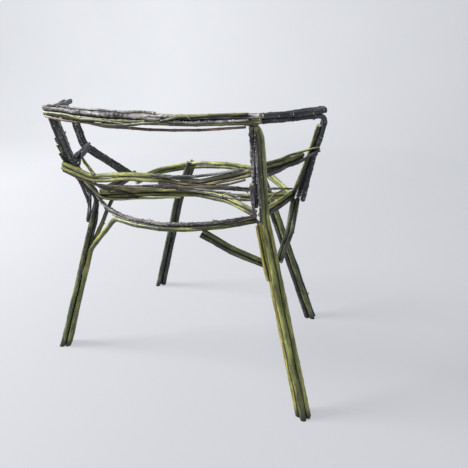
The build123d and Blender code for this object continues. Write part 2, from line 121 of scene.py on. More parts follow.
def pale_studio_paint():
    """Pale matt floor, and a backdrop that the camera sees evenly lit, with painted light that leaves it a
    little darker to one side.
    """
    paint = bpy.data.materials.new("pale_floor")
    paint.use_nodes = True
    tree = paint.node_tree
    matt = tree.nodes["Principled BSDF"]
    matt.inputs["Roughness"].default_value = FLOOR_ROUGHNESS
    matt.inputs["Base Color"].default_value = FLOOR_COLOUR
    place = node(tree, "ShaderNodeTexCoord").outputs["Object"]
    mottle = node(tree, "ShaderNodeTexNoise", {"Vector": place, "Scale": MOTTLE_SCALE, "Detail": 5})
    apart = node(tree, "ShaderNodeSeparateXYZ", {0: place}).outputs
    # painted light: the backdrop's glow goes from dim to bright towards the lamp's side
    side = node(tree, "ShaderNodeMapRange", {
        "Value": apart["X"], "From Min": PAINTED_LIGHT_SPAN_X[0], "From Max": PAINTED_LIGHT_SPAN_X[1],
    })
    far = node(tree, "ShaderNodeMapRange", {
        "Value": apart["Y"], "From Min": NEAR_TO_FAR[0], "From Max": NEAR_TO_FAR[1],
        "To Min": 1.0, "To Max": FAR_STRENGTH,
    })
    tone = node(tree, "ShaderNodeMapRange", {
        "Value": mottle.outputs["Fac"], "To Min": MOTTLE[0], "To Max": MOTTLE[1],
    })
    glow = node(tree, "ShaderNodeMix", {
        0: side.outputs[0], 6: BACKDROP_DIM, 7: BACKDROP_PAINTED_LIGHT,
    }, data_type="RGBA")
    glow = node(tree, "ShaderNodeEmission", {
        "Color": glow.outputs[2], "Strength": number(tree, "MULTIPLY", tone.outputs[0], far.outputs[0]),
    })
    share = number(tree, "MULTIPLY", seen_rays(tree), EVEN_SHARE)
    both = node(tree, "ShaderNodeMixShader", {0: share, 1: matt.outputs[0], 2: glow.outputs[0]})
    tree.links.new(both.outputs[0], tree.nodes["Material Output"].inputs["Surface"])
    return paint


SWEEP_FRONT = -2.3  # of the floor, ahead of the chair, where the backdrop starts to rise
SWEEP_RADIUS = 1.2
SWEEP_POINTS = 17  # round its bend
FLOOR_REACH = 14.0
sweep = bmesh.new()
profile = [(FLOOR_REACH, 0.0), (SWEEP_FRONT, 0.0)]
profile += [
    (SWEEP_FRONT - SWEEP_RADIUS * np.sin(a), SWEEP_RADIUS * (1 - np.cos(a)))
    for a in np.linspace(0, pi / 2, SWEEP_POINTS)[1:]
]
profile.append((SWEEP_FRONT - SWEEP_RADIUS, FLOOR_REACH / 2))
edges = [[sweep.verts.new((x, y, z)) for y, z in profile] for x in (-FLOOR_REACH, FLOOR_REACH)]
for i in range(len(profile) - 1):
    face = sweep.faces.new((edges[0][i], edges[0][i + 1], edges[1][i + 1], edges[1][i]))
    face.smooth = True
sweep_mesh = bpy.data.meshes.new("floor")
sweep.to_mesh(sweep_mesh)
sweep_mesh.materials.append(pale_studio_paint())
floor = bpy.data.objects.new("floor", sweep_mesh)
scene.collection.objects.link(floor)

LAMP_PLACE = Vector((3.0, 0.9, 2.7))
LAMP_AIM = Vector((0, 0, 0.3))
LAMP_SIZE = 1.4
LAMP_WATTS = 260
lamp_light = bpy.data.lights.new("window_light", "AREA")
lamp_light.shape = "DISK"
lamp_light.size = LAMP_SIZE
lamp_light.energy = LAMP_WATTS
lamp = bpy.data.objects.new("window_light", lamp_light)
lamp.location = LAMP_PLACE
lamp.rotation_euler = (LAMP_AIM - LAMP_PLACE).to_track_quat("-Z", "Y").to_euler()
scene.collection.objects.link(lamp)

ROOM_COLOUR = (0.93, 0.96, 1.0, 1)
ROOM_STRENGTH = 0.46  # of the light that it gives
ROOM_SEEN = 1.2  # strength at which the camera sees it
world = bpy.data.worlds.new("studio")
world.use_nodes = True
room = world.node_tree
even = room.nodes["Background"]
even.inputs["Color"].default_value = ROOM_COLOUR
even.inputs["Strength"].default_value = ROOM_STRENGTH
pale = node(room, "ShaderNodeBackground", {"Color": BACKDROP_DIM, "Strength": ROOM_SEEN})
both = node(room, "ShaderNodeMixShader", {0: seen_rays(room), 1: even.outputs[0], 2: pale.outputs[0]})
room.links.new(both.outputs[0], room.nodes["World Output"].inputs["Surface"])
scene.world = world

# ---- rods of the rear legs -----------------------------------------------------------------------
# Green and olive rods, about 14 mm thick at the floor and tapering upwards, in nailed bundles that
# fork out of each foot. Each has bark with streaks and dots, buds, cut side shoots and sawn ends.
POINTS_PER_AREA = 900000.0  # on a square metre of a solid's surface
POINTS_SEED = 7


def surface_points(mesh):
    """Points spread evenly over a solid's surface, always the same ones."""
    draw = np.random.default_rng(POINTS_SEED)
    place = np.array([v.co for v in mesh.vertices])
    mesh.calc_loop_triangles()
    corner = place[np.array([t.vertices for t in mesh.loop_triangles])]
    first, second = corner[:, 1] - corner[:, 0], corner[:, 2] - corner[:, 0]
    area = np.linalg.norm(np.cross(first, second), axis=1) / 2
    picked = draw.choice(len(area), int(area.sum() * POINTS_PER_AREA), p=area / area.sum())
    u, v = draw.random((2, len(picked)))
    over = u + v > 1
    u[over], v[over] = 1 - u[over], 1 - v[over]
    inside = corner[picked, 0] + first[picked] * u[:, None] + second[picked] * v[:, None]
    return np.vstack([place, inside])


FIT_ROUNDS = 3
STRAY = 0.0006  # off the fitted circle, past which a point belongs to a notch and is left out
FEWEST_FITTED = 12
LEAST_SQUARE = 1e-8  # of a fitted radius, so that its root exists


def ring_centre(points, guess, way):
    """Centre and radius of the circle that fits a rod's outside where a plane crosses it."""
    across = np.linalg.svd(way[None])[2][1:]
    flat = (points - guess) @ across.T
    for _ in range(FIT_ROUNDS):
        known = np.column_stack([2 * flat, np.ones(len(flat))])
        x, y, c = np.linalg.lstsq(known, (flat ** 2).sum(1), rcond=None)[0]
        radius = np.sqrt(max(c + x * x + y * y, LEAST_SQUARE))
        off = np.abs(np.linalg.norm(flat - (x, y), axis=1) - radius)
        kept = off < max(STRAY, off.mean())
        if kept.sum() < FEWEST_FITTED:
            break
        flat = flat[kept]
    return guess + x * across[0] + y * across[1], radius


STEP = 0.006  # between the points found along a rod's line
MOST_STEPS = 400
ON_FLOOR = 0.002  # the height under which a rod's lowest point stands on the floor
FIRST_STRETCH = 0.035  # of a rod, which gives the way to set out in
SLICE = 0.004  # half of what counts as the bark at one step
SLICE_REACH = 0.013
FEWEST_POINTS = 60  # in a slice, with fewer of which the rod has ended
MOST_SHIFT = 0.005  # of a found centre from the one expected
MOST_RADIUS = 0.0095
LAST_STRETCH = 0.02  # in which a rod's end is looked for


def rod_line(name):
    """The centre line and radius of a rod, found by walking along its solid from one end."""
    points = surface_points(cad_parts[name].data)
    start = points[np.linalg.norm(points - points.mean(0), axis=1).argmax()]
    if points[:, 2].min() < ON_FLOOR:
        start = points[points[:, 2].argmin()]
    near = points[np.linalg.norm(points - start, axis=1) < FIRST_STRETCH]
    way = np.linalg.svd(near - near.mean(0), full_matrices=False)[2][0]
    way = way * np.sign((near.mean(0) - start) @ way)
    centre = near.mean(0) - way * ((near.mean(0) - start) @ way)
    line, radii = [], []
    while len(line) < MOST_STEPS:
        beside = (np.abs((points - centre) @ way) < SLICE)
        beside &= np.linalg.norm(points - centre, axis=1) < SLICE_REACH
        if beside.sum() < FEWEST_POINTS:
            break
        found, radius = ring_centre(points[beside], centre, way)
        if np.linalg.norm(found - centre) < MOST_SHIFT and radius < MOST_RADIUS:
            centre = found
        line.append(centre)
        radii.append(radius)
        if len(line) > 2:
            way = line[-1] - line[-3]
            way = way / np.linalg.norm(way)
        centre = centre + way * STEP
    last = np.linalg.norm(points - line[-2], axis=1) < LAST_STRETCH
    line[-1] = line[-2] + way * ((points[last] - line[-2]) @ way).max()
    return np.array(line), np.array(radii)


def lengths(line):
    """How far each point of a line is from its start."""
    return np.r_[0, np.cumsum(np.linalg.norm(np.diff(line, axis=0), axis=1))]


def between(wanted, along, line):
    """Points on a line at the lengths wanted."""
    return np.column_stack([np.interp(wanted, along, line[:, i]) for i in range(3)])


def ease(line, rounds):
    """A line with its corners eased and its ends kept."""
    eased = line.copy()
    for _ in range(rounds):
        eased[1:-1] = (eased[:-2] + 2 * eased[1:-1] + eased[2:]) / 4
    return eased


SPACING = 0.0022  # between the rings of a finished rod
SAWN_EDGE = (0.0, 0.0003, 0.0009)  # of a rod's end: rings this far in, worn by the next line
SAWN_WEAR = (0.90, 0.965, 1.0)
FULL = 1.03  # finished girth to the girth of the many-sided solid
KINK_RUN = 0.045  # from kink to kink
KINK_EASE = 6  # rounds of easing of a line's kinks
BUD_GAP = (0.032, 0.062)  # from bud to bud, least and most
MOST_BUDS = 40
BARE_BUTT = 0.02  # without buds, at a rod's thick end
BARE_TIP = 0.012
SWELL_RUN = 0.0032  # over which a rod is thicker at a bud
SWELL_BELOW = 0.001  # from the bud down to the thickest place


def rings_along(along, eased, taper, wander, draw):
    """Rings along a line: close at its worn ends, evenly spaced between, thicker at each bud."""
    length = along[-1]
    middle = np.linspace(SPACING, length - SPACING, max(3, int(length / SPACING)))
    rings = np.r_[SAWN_EDGE, middle, length - np.array(SAWN_EDGE[::-1])]
    place = between(rings, along, eased)
    kinks = draw.normal(0, wander, (int(length / KINK_RUN) + 3, 3))
    kinks[[0, -1]] = 0
    place += between(rings, np.linspace(0, length, len(kinks)), kinks)
    place[2:-2] = ease(place[2:-2], KINK_EASE)
    girth = np.polyval(taper, rings) * FULL
    girth[:3] *= SAWN_WEAR
    girth[-3:] *= SAWN_WEAR[::-1]
    buds = np.cumsum(draw.uniform(*BUD_GAP, MOST_BUDS))
    buds = buds[(buds > BARE_BUTT) & (buds < length - BARE_TIP)]
    swell = np.exp(-((rings[:, None] - buds[None] + SWELL_BELOW) / SWELL_RUN) ** 2).sum(1)
    at_bud = np.zeros(len(rings), bool)
    at_bud[np.abs(rings[:, None] - buds[None]).argmin(0)] = True
    return place, girth, swell, at_bud


ROD_WANDER = 0.0005  # small kinks of a rod, off its straight course
ROD_EASE = 4  # rounds of easing of the line found
FOOT_HEIGHT = 0.01  # under which a rod's first ring is a foot
rod_lines = {}  # of the rods laid so far: points and radii along each solid's centre


def smooth_rod(name, draw):
    """A rod's rings: their places, radii, swelling at the buds, and where the buds are."""
    line, radii = rod_line(name)
    rod_lines[name] = line, radii
    along = lengths(line)
    taper = np.polyfit(along[2:-2], radii[2:-2], 1)
    taper[1] += np.median(radii[2:-2] - np.polyval(taper, along[2:-2]))
    if taper[0] > 0 and line[0, 2] > FOOT_HEIGHT:
        line = line[::-1]
        taper = np.array([-taper[0], np.polyval(taper, along[-1])])
        along = along[-1] - along[::-1]
    return rings_along(along, ease(line, ROD_EASE), taper, ROD_WANDER, draw)


def vector(tree, operation, *values, **more):
    """Arithmetic on vectors."""
    inputs = {**dict(enumerate(values)), **more}
    return node(tree, "ShaderNodeVectorMath", inputs, operation=operation).outputs[0]


def height_of(tree, place):
    """The Z of a vector."""
    return node(tree, "ShaderNodeSeparateXYZ", {0: place}).outputs["Z"]


def named(tree, name, kind):
    """A value that a point carries under a name."""
    return node(tree, "GeometryNodeInputNamedAttribute", {"Name": name}, data_type=kind).outputs[0]


def stored(tree, shape, name, value, kind):
    """A shape whose points carry a value for its paint."""
    return node(tree, "GeometryNodeStoreNamedAttribute", {
        "Geometry": shape, "Name": name, "Value": value,
    }, data_type=kind, domain="POINT").outputs[0]


def painted(tree, shape, paint, chosen=None):
    """A shape, or its chosen faces, in a paint."""
    inputs = {"Geometry": shape, "Material": paint}
    if chosen is not None:
        inputs["Selection"] = chosen
    return node(tree, "GeometryNodeSetMaterial", inputs).outputs[0]


def moved(tree, shape, way, distance):
    """A shape with each point moved a distance along a way."""
    return node(tree, "GeometryNodeSetPosition", {
        "Geometry": shape, "Offset": vector(tree, "SCALE", way, Scale=distance),
    }).outputs[0]


def kept_values(tree, shape, sources):
    """A shape's outputs, with values found now and held for later."""
    kept = tree.nodes.new("GeometryNodeCaptureAttribute")
    tree.links.new(shape, kept.inputs["Geometry"])
    for name, (kind, socket) in sources.items():
        kept.capture_items.new(kind, name)
        tree.links.new(socket, kept.inputs[name])
    return kept.outputs


ROUND = 20  # sides of a finished rod
LUMP_SCALE = 170
LUMP_STRETCH = 0.35  # of a lump's width to its length
KNOB_EDGE = (0.12, 0.46)  # of a knob, from its top to its foot, in shares of the knobs' spacing
KNOB_DISORDER = 0.9
SEED_SHIFT = 0.731  # along the bark's pattern, from one rod's start to the next
FLOOR_TRIM = (0.001, 0.022)  # up a leg from its end: slid down flat on the floor, and not moved
FLATTEST = 0.3  # rise of a leg along its length, the least that the sliding takes
MOST_CORNERS = 5  # of a face of the bark: one with more is a sawn end


def bark_skin(tree, line, given):
    """A rod's bark round a line: lumps, knobs, swellings, sawn ends, and a foot flat on the floor."""
    run = node(tree, "GeometryNodeSplineParameter").outputs
    held = kept_values(tree, line, {
        "centre": ("VECTOR", node(tree, "GeometryNodeInputPosition").outputs[0]),
        "way": ("VECTOR", node(tree, "GeometryNodeInputTangent").outputs[0]),
        "along": ("FLOAT", run["Length"]),
        "share": ("FLOAT", run["Factor"]),
        "thick": ("FLOAT", named(tree, "girth", "FLOAT")),
        "swell": ("FLOAT", named(tree, "swell", "FLOAT")),
    })
    circle = node(tree, "GeometryNodeCurvePrimitiveCircle", {"Resolution": ROUND, "Radius": 1.0})
    turned = kept_values(tree, circle.outputs[0], {
        "turn": ("FLOAT", node(tree, "GeometryNodeSplineParameter").outputs["Factor"]),
    })
    skin = node(tree, "GeometryNodeCurveToMesh", {
        "Curve": held["Geometry"], "Profile Curve": turned["Geometry"],
        "Scale": held["thick"], "Fill Caps": True,
    }).outputs[0]

    # the rod as if straightened: round it, and along it from a start of its own
    angle = number(tree, "MULTIPLY", turned["turn"], 2 * pi)
    start = number(tree, "MULTIPLY", given["Seed"], SEED_SHIFT)
    straight = node(tree, "ShaderNodeCombineXYZ", {
        "X": number(tree, "MULTIPLY", number(tree, "COSINE", angle), held["thick"]),
        "Y": number(tree, "MULTIPLY", number(tree, "SINE", angle), held["thick"]),
        "Z": number(tree, "ADD", held["along"], start),
    }).outputs[0]
    skin = stored(tree, skin, "grain", straight, "FLOAT_VECTOR")
    skin = stored(tree, skin, "share", held["share"], "FLOAT")
    grain = named(tree, "grain", "FLOAT_VECTOR")
    stretched = vector(tree, "MULTIPLY", grain, (1, 1, LUMP_STRETCH))
    lumps = node(tree, "ShaderNodeTexNoise", {"Vector": stretched, "Scale": LUMP_SCALE, "Detail": 2})
    lumps = number(tree, "SUBTRACT", lumps.outputs["Fac"], 0.5)
    cells = node(tree, "ShaderNodeTexVoronoi", {
        "Vector": grain, "Scale": number(tree, "DIVIDE", 1.0, given["Knob Spacing"]),
        "Randomness": KNOB_DISORDER,
    }).outputs["Distance"]
    knobs = node(tree, "ShaderNodeMapRange", {
        "Value": cells, "From Min": KNOB_EDGE[0], "From Max": KNOB_EDGE[1], "To Min": 1.0, "To Max": 0.0,
    }, interpolation_type="SMOOTHSTEP").outputs[0]
    height = number(tree, "ADD", number(tree, "MULTIPLY", lumps, given["Lumps"]),
                    number(tree, "MULTIPLY", knobs, given["Knobs"]))
    height = number(tree, "ADD", height, number(tree, "MULTIPLY", held["swell"], given["Swelling"]))
    place = node(tree, "GeometryNodeInputPosition").outputs[0]
    outward = vector(tree, "NORMALIZE", vector(tree, "SUBTRACT", place, held["centre"]))
    skin = moved(tree, skin, outward, height)

    # a leg's end is slid along the rod until it lies flat on the floor
    high = height_of(tree, node(tree, "GeometryNodeInputPosition").outputs[0])
    rise = number(tree, "MAXIMUM", height_of(tree, held["way"]), FLATTEST)
    share = node(tree, "ShaderNodeMapRange", {
        "Value": held["along"], "From Min": FLOOR_TRIM[0], "From Max": FLOOR_TRIM[1],
        "To Min": 1.0, "To Max": 0.0,
    }).outputs[0]
    slide = number(tree, "MULTIPLY", number(tree, "DIVIDE", high, rise), share)
    slide = number(tree, "MULTIPLY", number(tree, "MULTIPLY", slide, -1.0), given["On Floor"])
    skin = moved(tree, skin, held["way"], slide)
    corners = node(tree, "GeometryNodeInputMeshFaceNeighbors").outputs["Vertex Count"]
    is_end = node(tree, "FunctionNodeCompare", {2: corners, 3: MOST_CORNERS},
                  data_type="INT", operation="GREATER_THAN").outputs[0]
    skin = node(tree, "GeometryNodeSetShadeSmooth", {
        "Geometry": skin,
        "Shade Smooth": node(tree, "FunctionNodeBooleanMath", {0: is_end}, operation="NOT").outputs[0],
    }).outputs[0]
    return painted(tree, painted(tree, skin, given["Bark"]), given["Cut Wood"], is_end)


def bud_shape(tree, given):
    """A bud, in millimetres, standing on the origin."""
    bud = node(tree, "GeometryNodeMeshUVSphere", {"Segments": 8, "Rings": 6, "Radius": 1.0}).outputs[0]
    bud = node(tree, "GeometryNodeTransform", {
        "Geometry": bud, "Scale": (0.62, 0.9, 1.9), "Translation": (0, 0, 0.9),
    }).outputs[0]
    return painted(tree, bud, given["Bud"])


def snag_shape(tree, given):
    """The stump of a side shoot, in millimetres, sawn off at its top."""
    cone = node(tree, "GeometryNodeMeshCone", {
        "Vertices": 10, "Radius Top": 1.25, "Radius Bottom": 1.9, "Depth": 5.5,
    }, fill_type="NGON").outputs
    return painted(tree, painted(tree, cone["Mesh"], given["Bark"]), given["Cut Wood"], cone["Top"])


MILLIMETRE = 0.001
BUD_TURN = radians(137.5)  # from one bud to the next, round the rod
BUD_LEAN, SNAG_LEAN = 0.35, 0.95  # outwards, for one along the rod
BUD_SUNK, SNAG_SUNK = 0.0003, 0.0012  # into the bark
SNAG_LEAST = (0.0007, 0.0007, 0.0006)  # sizes of a stump
SNAG_MOST = (0.0010, 0.0010, 0.0017)


def buds_and_snags(tree, line, given):
    """Buds and stumps of side shoots along a line, each turned round the rod from the one before."""
    turn = number(tree, "ADD", named(tree, "bud_number", "FLOAT"), given["Seed"])
    side = node(tree, "FunctionNodeAxisAngleToRotation", {
        "Axis": node(tree, "GeometryNodeInputTangent").outputs[0],
        "Angle": number(tree, "MULTIPLY", turn, BUD_TURN),
    }).outputs[0]
    out = node(tree, "FunctionNodeRotateVector", {
        "Vector": node(tree, "GeometryNodeInputNormal").outputs[0], "Rotation": side,
    }).outputs[0]
    draw = node(tree, "FunctionNodeRandomValue", {"Seed": given["Seed"]}, data_type="FLOAT").outputs[1]
    is_snag = number(tree, "LESS_THAN", draw, given["Snag Share"])
    is_bud = number(tree, "SUBTRACT", 1.0, is_snag)
    snag_size = node(tree, "FunctionNodeRandomValue", {
        0: SNAG_LEAST, 1: SNAG_MOST, "Seed": given["Seed"],
    }, data_type="FLOAT_VECTOR").outputs[0]
    pieces = []
    for shape, lean, sunk, size, chosen in (
        (bud_shape(tree, given), BUD_LEAN, BUD_SUNK, given["Bud Size"], is_bud),
        (snag_shape(tree, given), SNAG_LEAN, SNAG_SUNK, snag_size, is_snag),
    ):
        place = node(tree, "GeometryNodeInputPosition").outputs[0]
        grain = vector(tree, "SCALE", place, Scale=MILLIMETRE)
        shape = stored(tree, shape, "grain", grain, "FLOAT_VECTOR")
        shape = node(tree, "GeometryNodeSetShadeSmooth", {"Geometry": shape, "Shade Smooth": True})
        way = node(tree, "GeometryNodeInputTangent").outputs[0]
        pointing = vector(tree, "ADD", vector(tree, "SCALE", out, Scale=lean), way)
        stand = node(tree, "FunctionNodeAxesToRotation", {
            "Primary Axis": vector(tree, "NORMALIZE", pointing), "Secondary Axis": out,
        }, primary_axis="Z", secondary_axis="X").outputs[0]
        held = kept_values(tree, line, {"stand": ("ROTATION", stand), "chosen": ("FLOAT", chosen)})
        raised = number(tree, "SUBTRACT", named(tree, "girth", "FLOAT"), sunk)
        is_chosen = node(tree, "FunctionNodeCompare", {0: held["chosen"], 1: 0.5},
                         data_type="FLOAT", operation="GREATER_THAN").outputs[0]
        picked = node(tree, "FunctionNodeBooleanMath", {0: named(tree, "bud", "BOOLEAN"), 1: is_chosen},
                      operation="AND").outputs[0]
        pieces.append(node(tree, "GeometryNodeInstanceOnPoints", {
            "Points": moved(tree, held["Geometry"], out, raised), "Selection": picked,
            "Instance": shape.outputs[0], "Rotation": held["stand"], "Scale": size,
        }).outputs[0])
    return pieces


def bark_rod_tree():
    """Geometry nodes that grow a rod's bark, knobs, buds and snags along a line of points."""
    tree = bpy.data.node_groups.new("bark_rod", "GeometryNodeTree")
    face = tree.interface
    face.new_socket("Geometry", in_out="OUTPUT", socket_type="NodeSocketGeometry")
    face.new_socket("Geometry", in_out="INPUT", socket_type="NodeSocketGeometry")
    for name in ("Seed", "Lumps", "Knobs", "Knob Spacing", "Swelling", "Bud Size", "Snag Share",
                 "On Floor"):
        face.new_socket(name, in_out="INPUT", socket_type="NodeSocketFloat")
    for name in ("Bark", "Cut Wood", "Bud"):
        face.new_socket(name, in_out="INPUT", socket_type="NodeSocketMaterial")
    given = node(tree, "NodeGroupInput").outputs
    line = node(tree, "GeometryNodeMeshToCurve", {"Mesh": given["Geometry"]}).outputs[0]
    join = tree.nodes.new("GeometryNodeJoinGeometry")
    for piece in reversed([bark_skin(tree, line, given), *buds_and_snags(tree, line, given)]):
        tree.links.new(piece, join.inputs[0])
    whole = node(tree, "GeometryNodeRealizeInstances", {0: join.outputs[0]}).outputs[0]
    tree.links.new(whole, node(tree, "NodeGroupOutput").inputs[0])
    return tree


bark_tree = bark_rod_tree()


def paint_tree(name, roughness):
    """A new material, its node tree and its shader."""
    paint = bpy.data.materials.new(name)
    paint.use_nodes = True
    tree = paint.node_tree
    shader = tree.nodes["Principled BSDF"]
    shader.inputs["Roughness"].default_value = roughness
    return paint, tree, shader


def give_relief(tree, shader, height, strength, distance):
    """Raise a shader's surface in fine relief."""
    bump = node(tree, "ShaderNodeBump", {"Height": height, "Strength": strength, "Distance": distance})
    tree.links.new(bump.outputs[0], shader.inputs["Normal"])


def noise(tree, place, scale, detail=3.0, stretch=1.0, shift=0.0):
    """Noise over the straightened rod, drawn out along it by the stretch."""
    drawn = vector(tree, "MULTIPLY_ADD", place, (1.0, 1.0, 1.0 / stretch), (shift, shift, shift))
    made = node(tree, "ShaderNodeTexNoise", {"Vector": drawn, "Scale": scale, "Detail": detail})
    return made.outputs["Fac"]


def ramp(tree, value, low, high):
    """None up to the low value, one from the high value on, and smooth between."""
    return node(tree, "ShaderNodeMapRange", {"Value": value, "From Min": low, "From Max": high},
                interpolation_type="SMOOTHSTEP").outputs[0]


def fading(tree, value, low, high):
    """The other way round: one up to the low value, none from the high value on."""
    return number(tree, "SUBTRACT", 1.0, ramp(tree, value, low, high))


def mixed(tree, share, first, second):
    """One colour over another: its share goes from none, the first, to one, the second."""
    first, second = (c if isinstance(c, bpy.types.NodeSocket) else (*c, 1) for c in (first, second))
    made = node(tree, "ShaderNodeMix", {0: share, 6: first, 7: second}, data_type="RGBA")
    return made.outputs[2]


PATCHES = (0.38, 0.60)  # of noise, from the middle tone to the light one
HAIR_LINES = (0.48, 0.64)  # to the dark tone
DARK_LINES = (0.52, 0.60)
LINES_OVER_HAIR = 0.3  # how much stronger than the hair lines they are
BRIGHT_LINES = (0.36, 0.44)
BRIGHTER = 1.7  # a bark's palest lines, for a light tone of one
BRIGHT_COVER = 0.6
CLOUDS = (0.5, 0.68)
UNDERSIDE_SHADE_SPAN = (-0.55, 0.12)  # rise of the bark's normal, from its underside in painted shade to its top
PAINTED_UNDERSIDE_SHADE = 0.86  # painted shade: how far the underside of a rod's bark goes over to its dark tone
GAP_SHADE_NEARNESS = (0.15, 0.85)  # how near to another rod, from clear of it to touching it
PAINTED_GAP_SHADE = 0.95  # how dark the painted shade makes the bark where two rods lie together
GAP_SHADE_COLOUR = (0.006, 0.006, 0.006)
AGED_WAVER = 0.3  # how far along a rod its patches shift the start of its aged colour
FINE_RELIEF, SCAR_RELIEF = 0.5, 0.35  # parts of the bark's relief
ROUGHNESS_SPAN = (-0.1, 0.15)  # about a bark's own roughness, by its fine grain
SCAR_SCALE = 165
SCAR_WIDTH = 1.7  # of a scar's width to its length along the rod
SCAR_RIM = (0.16, 0.32)  # from its clear middle to its edge, in shares of the scars' spacing
SOIL = (0.008, 0.038)  # height of the full soil on a foot, and of the last of it
SOIL_WAVES = 0.012
SOIL_COVER = 0.92
SOIL_COLOUR = (0.012, 0.011, 0.011)


def bark_paint(name, light, middle, dark, dots, dot_share=0.3, streaks=0.5, roughness=0.5, blotches=0.8,
               aged=None):
    """Bark in three tones: patches along the rod, streaks, painted shade on its underside and where it lies
    against other rods, pale scars, a soiled foot.

    dots: colour of the scars, and how many of the places for one have it. streaks and blotches: how
    strong the dark lines and clouds are. aged: another colour, and the shares of the rod's length
    between which the bark goes over to it.
    """
    paint, tree, shader = paint_tree(name, roughness)
    bright = tuple(min(1.0, c * BRIGHTER) for c in light)
    grain = node(tree, "ShaderNodeAttribute", attribute_name="grain").outputs["Vector"]
    patches = noise(tree, grain, scale=60, detail=3, stretch=4)
    lines = noise(tree, grain, scale=300, detail=2, stretch=11, shift=0.59)
    fine = noise(tree, grain, scale=900, detail=4, stretch=14, shift=0.37)
    shade = noise(tree, grain, scale=55, detail=2, stretch=4, shift=0.81)

    def cover(part, strength, over):
        """The colour so far, with another over part of it."""
        return mixed(tree, number(tree, "MULTIPLY", part, strength), colour, over)

    colour = mixed(tree, ramp(tree, patches, *PATCHES), middle, light)
    if aged:
        old, first, last = aged
        share = node(tree, "ShaderNodeAttribute", attribute_name="share").outputs["Fac"]
        share = number(tree, "SUBTRACT", share, AGED_WAVER / 2)
        wavering = number(tree, "MULTIPLY_ADD", patches, AGED_WAVER, share)
        colour = mixed(tree, ramp(tree, wavering, first, last), colour, old)
    colour = cover(ramp(tree, fine, *HAIR_LINES), streaks, dark)
    colour = cover(ramp(tree, lines, *DARK_LINES), streaks + LINES_OVER_HAIR, dark)
    colour = cover(fading(tree, lines, *BRIGHT_LINES), BRIGHT_COVER, bright)
    colour = cover(ramp(tree, shade, *CLOUDS), blotches, dark)
    # painted shade: bark that faces down goes over to its dark tone, as if in shadow
    underside_shade = height_of(tree, node(tree, "ShaderNodeNewGeometry").outputs["Normal"])
    underside_shade = number(tree, "ADD", underside_shade, number(tree, "SUBTRACT", patches, 0.5))
    colour = cover(fading(tree, underside_shade, *UNDERSIDE_SHADE_SPAN), PAINTED_UNDERSIDE_SHADE, dark)
    scars = node(tree, "ShaderNodeTexVoronoi", {
        "Vector": vector(tree, "MULTIPLY", grain, (1.0, 1.0, SCAR_WIDTH)), "Scale": SCAR_SCALE,
        "Randomness": 1.0,
    }).outputs
    chance = node(tree, "ShaderNodeSeparateXYZ", {0: scars["Color"]}).outputs[0]
    dot = number(tree, "MULTIPLY", fading(tree, scars["Distance"], *SCAR_RIM),
                 number(tree, "LESS_THAN", chance, dot_share))
    colour = mixed(tree, dot, colour, dots)
    # painted shade where the bark lies against another rod
    gap_shade = node(tree, "ShaderNodeAttribute", attribute_name="gap_shade").outputs["Fac"]
    colour = cover(ramp(tree, gap_shade, *GAP_SHADE_NEARNESS), PAINTED_GAP_SHADE, GAP_SHADE_COLOUR)
    height = height_of(tree, node(tree, "ShaderNodeTexCoord").outputs["Object"])
    wavy = number(tree, "MULTIPLY_ADD", fine, SOIL_WAVES, height)
    colour = cover(fading(tree, wavy, *SOIL), SOIL_COVER, SOIL_COLOUR)
    tree.links.new(colour, shader.inputs["Base Color"])
    relief = number(tree, "ADD", number(tree, "MULTIPLY", fine, FINE_RELIEF),
                    number(tree, "MULTIPLY", dot, SCAR_RELIEF))
    give_relief(tree, shader, relief, strength=0.6, distance=0.0007)
    smoothest, roughest = (roughness + change for change in ROUGHNESS_SPAN)
    rough = number(tree, "MULTIPLY_ADD", fine, roughest - smoothest, smoothest)
    tree.links.new(rough, shader.inputs["Roughness"])
    return paint


def clouds(tree, scale):
    """Noise over a surface, without a grain."""
    place = node(tree, "ShaderNodeTexCoord").outputs["Object"]
    return node(tree, "ShaderNodeTexNoise", {"Vector": place, "Scale": scale, "Detail": 4}).outputs["Fac"]


def cut_wood_paint():
    """A sawn end: pale wood, gone grey-brown in clouds."""
    paint, tree, shader = paint_tree("cut_wood", roughness=0.75)
    grey = clouds(tree, 700)
    colour = mixed(tree, ramp(tree, grey, 0.35, 0.7), (0.74, 0.66, 0.54), (0.30, 0.23, 0.16))
    tree.links.new(colour, shader.inputs["Base Color"])
    give_relief(tree, shader, grey, strength=0.5, distance=0.0004)
    return paint


def bud_paint():
    """Small dry buds, red-brown with paler scales."""
    paint, tree, shader = paint_tree("bud_scales", roughness=0.5)
    grain = node(tree, "ShaderNodeAttribute", attribute_name="grain").outputs["Vector"]
    tone = noise(tree, grain, scale=900)
    colour = mixed(tree, ramp(tree, tone, 0.35, 0.65), (0.11, 0.045, 0.025), (0.2, 0.12, 0.06))
    tree.links.new(colour, shader.inputs["Base Color"])
    return paint


CUT_WOOD = cut_wood_paint()
BUD = bud_paint()
PLAIN_BARK = {"Lumps": 0.0008, "Knobs": 0.0, "Knob Spacing": 0.02, "Swelling": 0.0005,
              "Bud Size": 0.00085, "Snag Share": 0.25}
laid = []  # finished rods, each with its rings' places and radii


